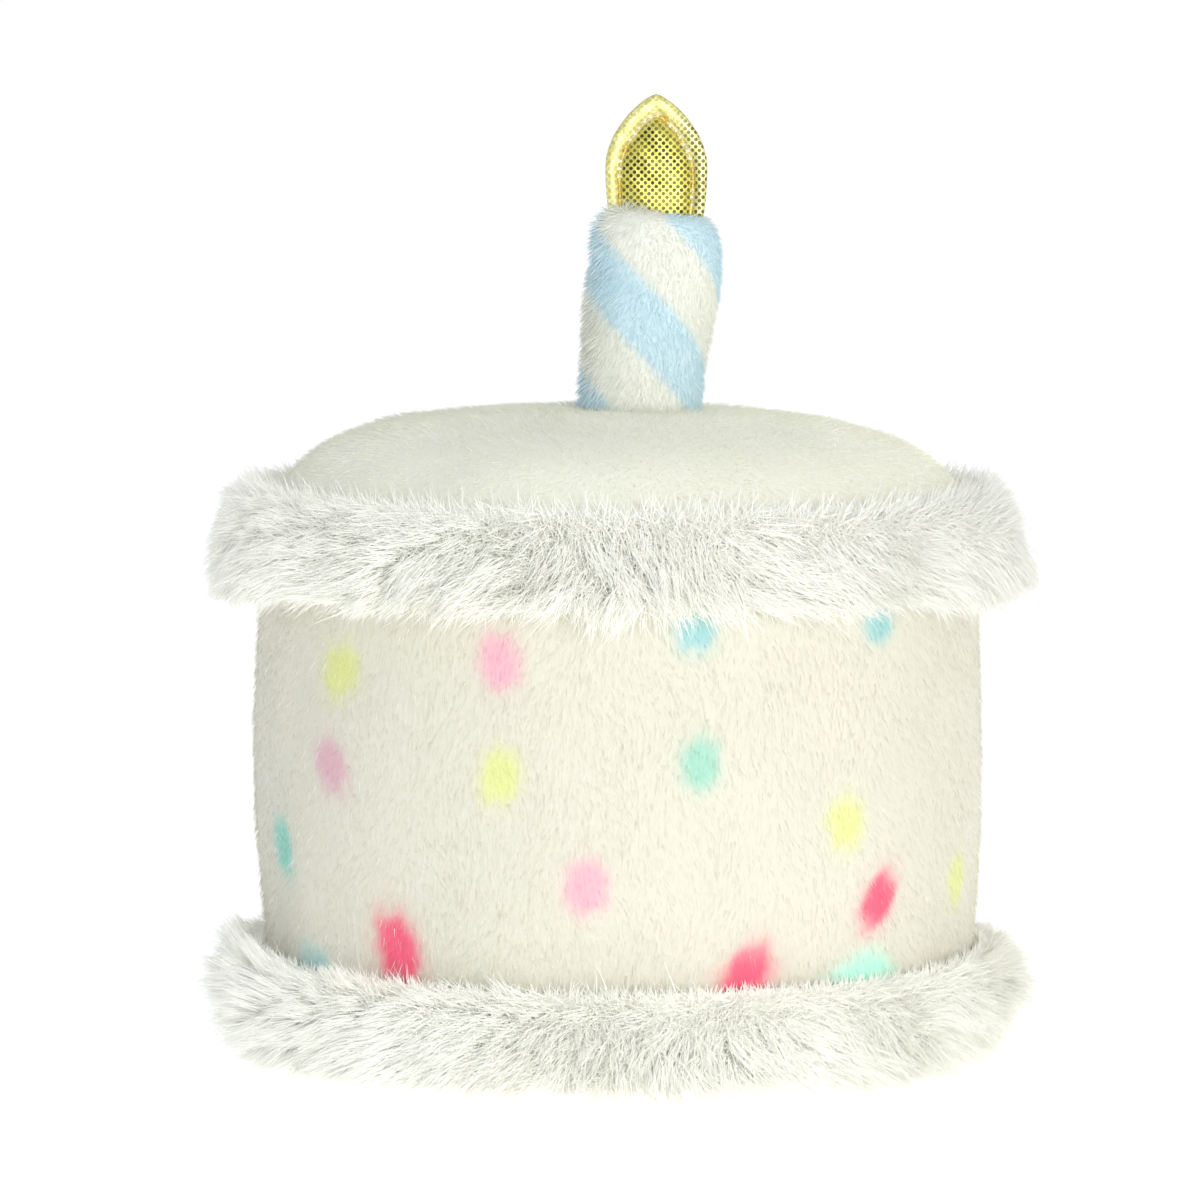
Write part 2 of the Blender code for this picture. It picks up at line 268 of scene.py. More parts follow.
def strands(name, widest, root, mid, tip, width, dye, laid):
    """One mesh of strands, each bent from its root past its middle point to its tip.

    dye is the colours at root and tip, and laid the place of each root on the strands' colour map.
    """
    shape, corners = strand_template(widest)
    count, size = len(root), len(shape)
    t = shape[:, 2][None, :, None]
    centre = (1 - t) ** 2 * root[:, None] + 2 * t * (1 - t) * mid[:, None] + t * t * tip[:, None]
    way = unit(tip - root)
    draw = np.random.default_rng(len(root))
    across = unit(np.cross(way, draw.normal(size=way.shape)))
    other = np.cross(way, across)
    ring = shape[:, 0][None, :, None] * across[:, None] + shape[:, 1][None, :, None] * other[:, None]
    points = centre + ring * width[:, None, None] / 2
    points[:, :, 2] = np.maximum(points[:, :, 2], 0.0003)

    mesh = bpy.data.meshes.new(name)
    mesh.vertices.add(count * size)
    mesh.vertices.foreach_set("co", points.astype(np.float32).ravel())
    flat = np.concatenate(corners)
    starts = np.concatenate([[0], np.cumsum([len(face) for face in corners])[:-1]])
    loops = (flat[None] + size * np.arange(count)[:, None]).ravel()
    mesh.loops.add(len(loops))
    mesh.loops.foreach_set("vertex_index", loops.astype(np.int32))
    mesh.polygons.add(count * len(corners))
    begin = (starts[None] + len(flat) * np.arange(count)[:, None]).ravel()
    mesh.polygons.foreach_set("loop_start", begin.astype(np.int32))
    mesh.update(calc_edges=True)
    # Flat faces send back all the light that falls between the strands, so deep white fur stays white
    mesh.shade_flat()

    low, high = dye
    colours = low[:, None] * (1 - t) + high[:, None] * t
    colour_points(mesh, "dye", colours.reshape(-1, 3))
    spread = np.stack([shape[:, 0] * 0.0006, shape[:, 2] * 0.012 + shape[:, 1] * 0.0006], 1)
    uv = np.clip(laid[:, None] + spread[None], 0.0, 1.0).reshape(-1, 2)
    layer = mesh.uv_layers.new(name="OFBake")
    layer.uv.foreach_set("vector", uv[loops].astype(np.float32).ravel())
    return mesh


def scattered(mesh, count, seed, wanted):
    """Random points spread evenly by area over the triangles whose middles are wanted."""
    mesh.calc_loop_triangles()
    corner = np.empty(len(mesh.loop_triangles) * 3, np.int32)
    mesh.loop_triangles.foreach_get("vertices", corner)
    corner = corner.reshape(-1, 3)
    points, normals = places(mesh), normals_of(mesh)
    middle = points[corner].mean(1)
    area = np.linalg.norm(
        np.cross(points[corner[:, 1]] - points[corner[:, 0]], points[corner[:, 2]] - points[corner[:, 0]]), axis=1
    )
    area = area * wanted(middle)
    draw = np.random.default_rng(seed)
    # Even steps through the summed area, each moved at random within its step
    steps = (np.arange(count) + draw.uniform(size=count)) / count * area.sum()
    chosen = np.searchsorted(np.cumsum(area), steps).clip(0, len(area) - 1)
    a, b = draw.uniform(size=(2, count))
    a, b = np.where(a + b > 1, 1 - a, a), np.where(a + b > 1, 1 - b, b)
    parts = np.stack([1 - a - b, a, b], 1)[:, :, None]
    return (points[corner[chosen]] * parts).sum(1), unit((normals[corner[chosen]] * parts).sum(1))


def round_map(points, low, high):
    """Where points lie on an unrolled map of the cake: turned round and up."""
    turn = np.arctan2(points[:, 0], -points[:, 1]) / (2 * pi) + 0.5
    return np.stack([turn, 0.01 + 0.97 * np.clip((points[:, 2] - low) / (high - low), 0, 1)], 1)


def nearest(points, centres):
    found = np.empty(len(points), int)
    for begin in range(0, len(points), 2000):
        part = points[begin:begin + 2000]
        found[begin:begin + 2000] = ((part[:, None] - centres[None]) ** 2).sum(2).argmin(1)
    return found


# ---- Printed dye ----

def back_dots():
    """Dots round the back, in a scatter like the front's."""
    draw = np.random.default_rng(5)
    dots = []
    for row, height in enumerate((22, 36, 50, 66)):
        for column in range(6):
            turn = 100 + 27 * column + 13 * (row % 2) + draw.uniform(-6, 6)
            if turn > 262:
                continue
            dye = BACK_DYES[(row * 2 + column * 5 + row * column) % len(BACK_DYES)]
            dots.append((turn, height + draw.uniform(-4, 4), 2.8, 4.1, dye, draw.uniform(-0.3, 0.3), None))
    return dots


def dye_at(points):
    """The wall's printed colour at these points, with painted shade in the darkened pink and mint dots."""
    turn = np.degrees(np.arctan2(points[:, 0], -points[:, 1]))
    height = points[:, 2] / MM
    radius = np.hypot(points[:, 0], points[:, 1]) / MM
    ragged = wander(points, 0.0035, 71)
    colours = np.repeat(CREAM[None], len(points), 0)
    for middle, level, half_width, half_height, dye, slant, foot in DOTS + back_dots():
        off = (turn - middle + 180) % 360 - 180
        up = (height - level) / half_height
        aside = np.radians(off) * radius / half_width - slant * up
        if foot is not None:
            aside = aside * (1.0 + 0.55 * np.clip(up, 0, 1.5))
        far = (np.abs(aside) ** 2.1 + np.abs(up) ** 2.1) ** (1 / 2.1) + 0.10 * ragged
        # Dye thins to a clear tint round a dot
        mask = 0.82 * (1 - step_between(0.54, 1.32, far)) + 0.14 * (1 - step_between(0.9, 1.9, far))
        if foot is not None:
            mask *= step_between(foot - 0.7, foot + 0.3, height) * (1 - 0.6 * step_between(0.0, 1.3, up))
        mask = mask[:, None]
        colours = colours * (1 - mask) + dye[None] * mask
    return colours


def stripe_at(turn, along):
    """The candle's printed colour: slanted bands that don't meet at the seam on its back."""
    phase = (along + 0.0248 * turn / pi - 0.0125) / 0.0227
    phase = (phase + 0.5) % 1.0 - 0.5
    blue = 1 - step_between(0.205, 0.285, np.abs(phase))
    return CANDLE_WHITE[None] * (1 - blue[:, None]) + SKY[None] * blue[:, None]


# ---- Materials ----

class Finish:
    """A material with one Principled shader, and short words for adding nodes to it."""

    def __init__(self, name, roughness=0.85, sheen=0.0, sheen_roughness=0.5, specular=0.3, metallic=0.0):
        self.material = bpy.data.materials.new(name)
        self.material.use_nodes = True
        self.tree = self.material.node_tree
        self.shader = self.tree.nodes["Principled BSDF"]
        self.shader.inputs["Roughness"].default_value = roughness
        self.shader.inputs["Metallic"].default_value = metallic
        self.shader.inputs["Sheen Weight"].default_value = sheen
        self.shader.inputs["Sheen Roughness"].default_value = sheen_roughness
        self.shader.inputs["Specular IOR Level"].default_value = specular

    def node(self, kind, **settings):
        made = self.tree.nodes.new("ShaderNode" + kind)
        for key, value in settings.items():
            setattr(made, key, value)
        return made

    def join(self, source, target):
        self.tree.links.new(source, target)

    def place(self, scale=(1, 1, 1), turn=(0, 0, 0), shift=(0, 0, 0)):
        """Object coordinates, moved, turned and scaled."""
        where = self.node("TexCoord")
        mapping = self.node("Mapping")
        mapping.inputs["Scale"].default_value = scale
        mapping.inputs["Rotation"].default_value = turn
        mapping.inputs["Location"].default_value = shift
        self.join(where.outputs["Object"], mapping.inputs["Vector"])
        return mapping.outputs["Vector"]

    def noise(self, vector, scale, detail=2.0, rough=0.5):
        made = self.node("TexNoise")
        made.inputs["Scale"].default_value = scale
        made.inputs["Detail"].default_value = detail
        made.inputs["Roughness"].default_value = rough
        self.join(vector, made.inputs["Vector"])
        return made.outputs["Fac"]

    def spread(self, value, low, high, to_low, to_high):
        made = self.node("MapRange")
        for key, number in zip(("From Min", "From Max", "To Min", "To Max"), (low, high, to_low, to_high)):
            made.inputs[key].default_value = number
        self.join(value, made.inputs["Value"])
        return made.outputs["Result"]

    def shaded(self, colour, amount):
        """colour made lighter or darker by amount, where 1 leaves it."""
        made = self.node("VectorMath", operation="SCALE")
        self.join(colour, made.inputs["Vector"])
        self.join(amount, made.inputs["Scale"])
        return made.outputs["Vector"]

    def blend(self, share, low, high):
        """low where share is 0 and high where it is 1."""
        made = self.node("Mix")
        for key, source in zip((0, 2, 3), (share, low, high)):
            self.join(source, made.inputs[key])
        return made.outputs[0]

    def product(self, one, other):
        made = self.node("Math", operation="MULTIPLY")
        self.join(one, made.inputs[0])
        self.join(other, made.inputs[1])
        return made.outputs[0]

    def tint(self, share, low, high):
        """A colour that goes from low to high with share."""
        made = self.node("MixRGB")
        made.inputs["Color1"].default_value = (*low, 1)
        made.inputs["Color2"].default_value = (*high, 1)
        self.join(share, made.inputs["Fac"])
        return made.outputs["Color"]

    def mix(self, one, other, share):
        """The colour one, with share of the colour other over it."""
        made = self.node("MixRGB")
        self.join(one, made.inputs["Color1"])
        if isinstance(other, tuple):
            made.inputs["Color2"].default_value = (*other, 1)
        else:
            self.join(other, made.inputs["Color2"])
        self.join(share, made.inputs["Fac"])
        return made.outputs["Color"]

    def bump(self, height, distance, strength=1.0):
        made = self.node("Bump")
        made.inputs["Distance"].default_value = distance
        made.inputs["Strength"].default_value = strength
        self.join(height, made.inputs["Height"])
        self.join(made.outputs["Normal"], self.shader.inputs["Normal"])
        return made


def fibre_finish(name, sheen, roughness, grain):
    """Strands: their own dye, a little lighter and darker from strand to strand."""
    made = Finish(name, roughness=roughness, sheen=sheen, sheen_roughness=0.4, specular=0.35)
    dye = made.node("VertexColor", layer_name="dye").outputs["Color"]
    streaks = made.noise(made.place(), grain, 0.0)
    made.join(made.shaded(dye, made.spread(streaks, 0.3, 0.7, 0.992, 1.010)), made.shader.inputs["Base Color"])
    made.join(made.spread(streaks, 0.3, 0.7, roughness - 0.08, roughness + 0.08), made.shader.inputs["Roughness"])
    return made.material


def backing_finish(name, sheen):
    """Short plush seen from above: printed dye, brushed patches and a fine upright grain."""
    made = Finish(name, roughness=0.9, sheen=sheen, sheen_roughness=0.35, specular=0.2)
    dye = made.node("VertexColor", layer_name="dye").outputs["Color"]
    patches = made.noise(made.place(), 70.0, 3.0)
    grain = made.noise(made.place(scale=(1.0, 1.0, 0.35)), 1700.0, 3.0, 0.6)
    tone = made.shaded(dye, made.spread(patches, 0.3, 0.7, 0.985, 1.01))
    tone = made.shaded(tone, made.spread(grain, 0.35, 0.65, 0.975, 1.01))
    made.join(tone, made.shader.inputs["Base Color"])
    made.join(made.spread(grain, 0.3, 0.7, 0.97, 0.82), made.shader.inputs["Roughness"])
    made.bump(grain, 0.0002)
    return made.material


def lame_finish():
    """Gold foil cloth pierced by a staggered lattice of tiny dark dots, paler on the border and, with painted
    sparkle, at the seam.

    The cloth's "leaf" colours say where the border and the seam are, and how far to the right a place is.
    """
    made = Finish("gold pin dot lame", roughness=0.36, metallic=0.6, specular=0.5)
    leaf = made.node("SeparateColor")
    made.join(made.node("VertexColor", layer_name="leaf").outputs["Color"], leaf.inputs["Color"])
    border, seam, across = (leaf.outputs[key] for key in ("Red", "Green", "Blue"))

    cell = 0.00079
    lattice = made.place(scale=(1 / cell, 0.0, 1 / cell), turn=(0, radians(45), 0))
    part = made.node("VectorMath", operation="FRACTION")
    made.join(lattice, part.inputs[0])
    centred = made.node("VectorMath", operation="SUBTRACT")
    centred.inputs[1].default_value = (0.5, 0.0, 0.5)
    made.join(part.outputs["Vector"], centred.inputs[0])
    far = made.node("VectorMath", operation="LENGTH")
    made.join(centred.outputs["Vector"], far.inputs[0])
    dot = made.spread(far.outputs["Value"], 0.31, 0.39, 1.0, 0.0)
    # How dark the dots look: full in the middle save for patches painted lighter as painted reflection, full on the
    # border's right, faint on its left
    patches = made.noise(made.place(), 330.0, 2.0)
    middle = made.spread(patches, 0.38, 0.62, 0.72, 1.0)
    on_border = made.spread(across, 0.62, 0.86, 0.24, 0.85)
    depth = made.blend(border, middle, on_border)
    depth = made.product(depth, made.spread(seam, 0.2, 0.8, 1.0, 0.25))
    dot = made.product(dot, depth)

    # Fine noise spots the gold lighter and darker as painted glints; on the seam the thread's gold runs from
    # orange-gold painted shade to white-yellow painted sparkle
    glints = made.noise(made.place(), 1500.0, 3.0, 0.7)
    folds = made.noise(made.place(), 700.0, 2.0, 0.6)
    gold = made.tint(made.spread(glints, 0.38, 0.62, 0.0, 1.0), (0.67, 0.60, 0.10), (0.88, 0.82, 0.21))
    pale = made.tint(made.spread(glints, 0.40, 0.60, 0.0, 1.0), (0.74, 0.68, 0.20), (0.90, 0.87, 0.42))
    thread = made.tint(made.spread(folds, 0.42, 0.56, 0.0, 1.0), (0.78, 0.56, 0.10), (1.0, 1.0, 0.80))
    cloth = made.mix(made.mix(gold, pale, border), thread, made.spread(seam, 0.25, 0.85, 0.0, 0.9))
    made.join(made.mix(cloth, (0.035, 0.032, 0.004), dot), made.shader.inputs["Base Color"])
    made.join(made.spread(glints, 0.35, 0.65, 0.30, 0.56), made.shader.inputs["Roughness"])
    made.join(made.spread(dot, 0.0, 1.0, 0.8, 0.1), made.shader.inputs["Metallic"])
    made.bump(made.product(made.spread(dot, 0.0, 1.0, 1.0, 0.0), made.spread(folds, 0.3, 0.7, 0.7, 1.0)), 0.00014)
    return made.material


def thread_finish():
    """Twisted gold sewing thread."""
    made = Finish("gold sewing thread", roughness=0.4, metallic=0.3, sheen=0.2)
    twist = made.node("TexWave", bands_direction="DIAGONAL")
    twist.inputs["Scale"].default_value = 2200.0
    twist.inputs["Distortion"].default_value = 1.0
    made.join(made.place(), twist.inputs["Vector"])
    gold = made.node("MixRGB")
    gold.inputs["Color1"].default_value = (0.66, 0.52, 0.08, 1)
    gold.inputs["Color2"].default_value = (1.0, 0.90, 0.45, 1)
    made.join(twist.outputs["Fac"], gold.inputs["Fac"])
    made.join(gold.outputs["Color"], made.shader.inputs["Base Color"])
    made.bump(twist.outputs["Fac"], 0.00005)
    return made.material


# ---- The stuffed body ----

def stuffed(mesh, held, pressure, cap):
    """The closed skin blown up a little by its stuffing, held at its seams, by a short cloth simulation."""
    before = places(mesh)
    normals = normals_of(mesh)
    skin = bpy.data.objects.new("stuffing", mesh)
    bpy.context.scene.collection.objects.link(skin)
    group = skin.vertex_groups.new(name="seams")
    group.add([int(i) for i in np.flatnonzero(held)], 1.0, "REPLACE")
    cloth = skin.modifiers.new("stuffing", "CLOTH")
    cloth.settings.vertex_group_mass = "seams"
    cloth.settings.use_pressure = True
    cloth.settings.uniform_pressure_force = pressure
    cloth.settings.effector_weights.gravity = 0.0
    cloth.settings.quality = 4
    cloth.point_cache.frame_start = 1
    cloth.point_cache.frame_end = 16
    scene = bpy.context.scene
    for number in range(1, 17):
        scene.frame_set(number)
    graph = bpy.context.evaluated_depsgraph_get()
    done = bpy.data.meshes.new_from_object(skin.evaluated_get(graph))
    after = places(done)
    scene.frame_set(1)
    bpy.data.objects.remove(skin, do_unlink=True)
    bpy.data.meshes.remove(done)
    out = ((after - before) * normals).sum(1)
    print("STUFFING mean and most", out.mean() / MM, out.max() / MM, out.min() / MM)
    return before + normals * (cap * np.tanh(out / cap))[:, None]


def panel(mesh, name, wanted):
    """The part of the skin whose face middles are wanted."""
    bm = bmesh.new()
    bm.from_mesh(mesh)
    bm.faces.ensure_lookup_table()
    spare = [face for face in bm.faces if not wanted[face.index]]
    bmesh.ops.delete(bm, geom=spare, context="FACES")
    return mesh_from(bm, name)


def add_cloth(piece, thickness):
    """Gives a panel the thickness of its cloth, inwards."""
    wall = piece.modifiers.new("cloth", "SOLIDIFY")
    wall.thickness = thickness
    wall.offset = -1.0
    bpy.context.view_layer.update()
    graph = bpy.context.evaluated_depsgraph_get()
    made = bpy.data.meshes.new_from_object(piece.evaluated_get(graph))
    piece.modifiers.clear()
    piece.data = made


def make_body():
    """Base, side and top panels of one stuffed skin, each with its own dye."""
    side = side_outline(SEAM_LOW_Z, SEAM_HIGH_Z, 46)
    outline = base_outline(10) + side[1:-1] + dome_outline(30)[:-1]
    flat = [(0.0, 0.0), (0.012, 0.0), (0.024, 0.0), (0.036, 0.0), (0.045, 0.0)]
    outline = shrunk(flat + outline + [(0.0, SEAM_HIGH_Z + DOME_RISE)], PILE_DEPTH)
    mesh = mesh_from(spun(outline, 150), "skin")
    points = places(mesh)
    turn = np.arctan2(points[:, 0], -points[:, 1])
    low_seam = np.abs(points[:, 2] - SEAM_LOW_Z) < 0.0010
    high_seam = (np.abs(points[:, 2] - SEAM_HIGH_Z) < 0.0010) & (np.hypot(points[:, 0], points[:, 1]) > 0.05)
    flat_floor = points[:, 2] < 0.0016
    points = stuffed(mesh, low_seam | high_seam | flat_floor, 3.0, 0.0012)
    move_to(mesh, points)
    normals = normals_of(mesh)
    # Lumps of stuffing, and gathers that die out away from the seams
    lumps = 0.00035 * wander(points, 0.036, 3) + 0.00008 * wander(points, 0.013, 4)
    to_seam = np.minimum(np.abs(points[:, 2] - SEAM_LOW_Z), np.abs(points[:, 2] - SEAM_HIGH_Z))
    gathers = np.sin(turn * 71 + 1.5 * wander(points, 0.02, 6)) * np.exp(-to_seam / 0.004)
    rest = step_between(0.0005, 0.006, points[:, 2])
    # The top is stuffed fuller at its shoulder, most of all on its left
    shoulder = np.exp(-((np.hypot(points[:, 0], points[:, 1]) - 0.043) / 0.010) ** 2)
    fuller = shoulder * (points[:, 2] > SEAM_HIGH_Z) * (0.0008 - 0.0004 * np.sin(turn))
    crest = np.exp(-(np.hypot(points[:, 0], points[:, 1]) / 0.036) ** 4) * (points[:, 2] > SEAM_HIGH_Z) * 0.0005
    points = points + normals * (fuller + crest + (lumps + 0.00022 * gathers) * rest)[:, None]
    move_to(mesh, points)

    middle = np.empty(len(mesh.polygons) * 3)
    mesh.polygons.foreach_get("center", middle)
    middle = middle.reshape(-1, 3)
    radius = np.hypot(middle[:, 0], middle[:, 1])
    on_base = middle[:, 2] < SEAM_LOW_Z
    on_top = (middle[:, 2] > SEAM_HIGH_Z) | ((middle[:, 2] > SEAM_HIGH_Z - 0.001) & (radius < 0.05))
    panels = {}
    for name, wanted, node, slot, sheen in (
        ("base_panel", on_base, "cake_base", "base_plush", 0.3),
        ("side_panel", ~on_base & ~on_top, "cake_side", "side_plush", 0.6),
        ("top_panel", on_top, "cake_top", "top_plush", 0.5),
    ):
        part = panel(mesh, name, wanted)
        if name == "side_panel":
            part = finer(part)
            colour_points(part, "dye", dye_at(places(part)))
        else:
            # The top's plain cream is dyed paler than the wall's as painted light
            plain = FUR_WHITE if name == "base_panel" else TOP_CREAM_WITH_PAINTED_LIGHT
            colour_points(part, "dye", np.repeat(plain[None], len(part.vertices), 0))
        piece = add_piece(name, part, backing_finish(name.replace("_", " ") + " plush", sheen))
        add_cloth(piece, 0.0007)
        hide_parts(node)
        panels[name] = part
    return mesh, panels


def finer(mesh):
    """The panel cut twice as fine, so that its print has smooth edges."""
    bm = bmesh.new()
    bm.from_mesh(mesh)
    bmesh.ops.subdivide_edges(bm, edges=bm.edges, cuts=1, use_grid_fill=True, smooth=0.0)
    return mesh_from(bm, mesh.name + "_fine")


def lean_of(points, normals, down, sideways, out):
    """Directions of pile brushed over a surface: downhill, sideways and standing up."""
    fall = np.array((0, 0, -1.0)) - normals * (-normals[:, 2:3])
    away = points * np.array((1, 1, 0))
    fall = fall + (unit(away) - normals * (unit(away) * normals).sum(1)[:, None]) * 0.25
    fall = unit(fall)
    side = np.cross(normals, fall)
    return unit(fall * down[:, None] + side * sideways[:, None] + normals * out[:, None])


def add_pile(name, points, normals, dye, length, width, down, sideways, out, material, laid, shade=0.0):
    """Short fibres that lie over a panel, some standing up from the rest.

    length, width, out and shade, how much darker a fibre may be than its dye, may be given for each fibre.
    """
    draw = np.random.default_rng(len(points) + 1)
    count = len(points)
    sideways = sideways + 0.35 * wander(points, 0.018, 41) + draw.normal(0, 0.16, count)
    out = out * (1 + 0.25 * wander(points, 0.009, 42)) + np.abs(draw.normal(0, 0.14, count))
    way = lean_of(points, normals, np.full(count, down), sideways, out)
    length = length * draw.uniform(0.7, 1.15, count)
    root = points - normals * 0.00025
    tip = root + way * length[:, None]
    mid = root + way * (length * 0.5)[:, None] + normals * (length * 0.10)[:, None]
    thick = width * draw.uniform(0.75, 1.25, count)
    low = dye * (0.985 + 0.015 * draw.uniform(-1, 1, (count, 1)))
    high = dye * (1.0 + 0.015 * draw.uniform(-1, 1, (count, 1)))
    darker = 1 - np.broadcast_to(shade, count)[:, None] * draw.uniform(size=(count, 1))
    low, high = low * darker ** 1.5, high * darker
    mesh = strands(name, 0.0, root, mid, tip, thick, (low, high.clip(0, 1)), laid)
    return add_piece(name, mesh, material)


def make_pile(mesh):
    """Pile of the side, the top and the base, rooted on the finished skin."""
    def on_side(middle):
        return (middle[:, 2] > 0.0135) & (middle[:, 2] < 0.0765)

    points, normals = scattered(mesh, 36000, 51, on_side)
    draw = np.random.default_rng(54)
    dye = dye_at(points)
    # Here and there an undyed fibre crosses a dot, and on the left some fibres are dyed white as painted glints
    undyed = draw.uniform(size=len(points)) < 0.16
    dye[undyed] = dye[undyed] * 0.45 + CREAM * 0.55
    turn = np.degrees(np.arctan2(points[:, 0], -points[:, 1]))
    painted_glint = (draw.uniform(size=len(points)) < 0.03) & (turn > -80) & (turn < -28)
    dye[painted_glint] = FUR_WHITE
    add_pile(
        "side_pile", points, normals, dye, 0.0022, 0.00013, 0.88, 0.10, 0.28,
        fibre_finish("side pile", 0.6, 0.7, 900.0), round_map(points, 0.012, 0.078),
    )

    def on_top(middle):
        from_candle = np.hypot(middle[:, 0] - CANDLE_FOOT_X, middle[:, 1])
        return (middle[:, 2] > 0.0845) & (from_candle > 0.0085)

    points, normals = scattered(mesh, 23000, 52, on_top)
    laid = 0.5 + points[:, :2] / 0.118
    # The top's pile takes the top's cream, dyed paler as painted light
    dye = np.repeat(TOP_CREAM_WITH_PAINTED_LIGHT[None], len(points), 0)
    add_pile(
        "top_pile", points, normals, dye, 0.0021, 0.00014, 0.8, 0.1, 0.38,
        fibre_finish("top pile", 0.5, 0.7, 900.0), laid,
    )

    def on_base(middle):
        return (middle[:, 2] < 0.0075) & (np.hypot(middle[:, 0], middle[:, 1]) > 0.03)

    points, normals = scattered(mesh, 6000, 53, on_base)
    laid = 0.5 + points[:, :2] / 0.118
    dye = np.repeat(FUR_WHITE[None], len(points), 0)
    add_pile(
        "base_pile", points, normals, dye, 0.0014, 0.00018, 0.2, 0.6, 0.30,
        fibre_finish("base pile", 0.3, 0.7, 900.0), laid,
    )


# ---- Frills ----

def along(line, shares):
    """Points at these shares of a polyline's length, and their unit normals away from the body."""
    line = np.array(line)
    gaps = np.linalg.norm(np.diff(line, axis=0), axis=1)
    marks = np.concatenate([[0], np.cumsum(gaps)]) / gaps.sum()
    points = np.stack([np.interp(shares, marks, line[:, axis]) for axis in (0, 1)], 1)
    ways = unit(np.gradient(line, axis=0))
    ways = unit(np.stack([np.interp(shares, marks, ways[:, axis]) for axis in (0, 1)], 1))
    return points, np.stack([ways[:, 1], -ways[:, 0]], 1)


def pad_thickness(shares):
    return FRILL_EDGE + FRILL_PAD * np.maximum(np.sin(pi * shares), 0.0) ** 0.6


def strip_outline(line, steps=12):
    shares = np.linspace(0, 1, steps + 1)
    points, normals = along(line, shares)
    outer = points + normals * pad_thickness(shares)[:, None]
    inner = (points - normals * 0.0006)[::-2]
    return [tuple(p) for p in outer.tolist()] + [tuple(p) for p in inner.tolist()]


def frill_place(line, turn, shares):
    """Points of the backing strip's outside and their normals."""
    flat, out = along(line, shares)
    flat = flat + out * pad_thickness(shares)[:, None]
    radial = np.stack([np.sin(turn), -np.cos(turn)], 1)
    points = np.concatenate([radial * flat[:, :1], flat[:, 1:]], 1)
    normals = np.concatenate([radial * out[:, :1], out[:, 1:]], 1)
    return points, unit(normals)


def frill_down(name, line, seed, count, length, width, painted_shade_right, material):
    """Felted wool under a frill's long fur: short strands that lean every way, dyed darker on the right as painted
    shade.
    """
    draw = np.random.default_rng(seed)
    shares = (np.arange(count) + draw.uniform(size=count)) / count
    shares = shares[draw.permutation(count)]
    turns = draw.uniform(0, 2 * pi, count)
    root, out = frill_place(line, turns, shares)
    around = np.stack([np.cos(turns), np.sin(turns), np.zeros(count)], 1)
    across = np.cross(out, around)
    heading = draw.uniform(0, 2 * pi, (count, 1))
    lean = draw.uniform(0.5, 1.3, (count, 1))
    way = unit(out + (around * np.cos(heading) + across * np.sin(heading)) * lean)
    reach = length * draw.uniform(0.75, 1.1, (count, 1))
    # At the high edge short strands lie over the join with the panel
    edge = (shares > 0.92)[:, None]
    over = unit(root - frill_place(line, turns, shares - 0.01)[0])
    way = np.where(edge, unit(out * 0.45 + over * 0.9 + around * draw.normal(0, 0.3, (count, 1))), way)
    reach = np.where(edge, reach * 0.42, reach)
    tip = root + way * reach
    root = root - out * 0.0005
    off = (turns[:, None] + pi) % (2 * pi) - pi
    # Tone differs at random from strand to strand, and painted shade darkens the down towards the right
    shade = 1 + 0.01 * draw.normal(size=(count, 1)) - painted_shade_right * np.exp(-((off - 1.4) / 0.7) ** 2)
    dye = (FUR_WHITE[None] * shade).clip(0, 1)
    thick = width * draw.uniform(0.8, 1.2, count)
    laid = round_map(root, root[:, 2].min(), root[:, 2].max())
    mesh = strands(name, 0.0, root, (root + tip) / 2, tip, thick, (dye, dye), laid)
    return add_piece(name, mesh, material)


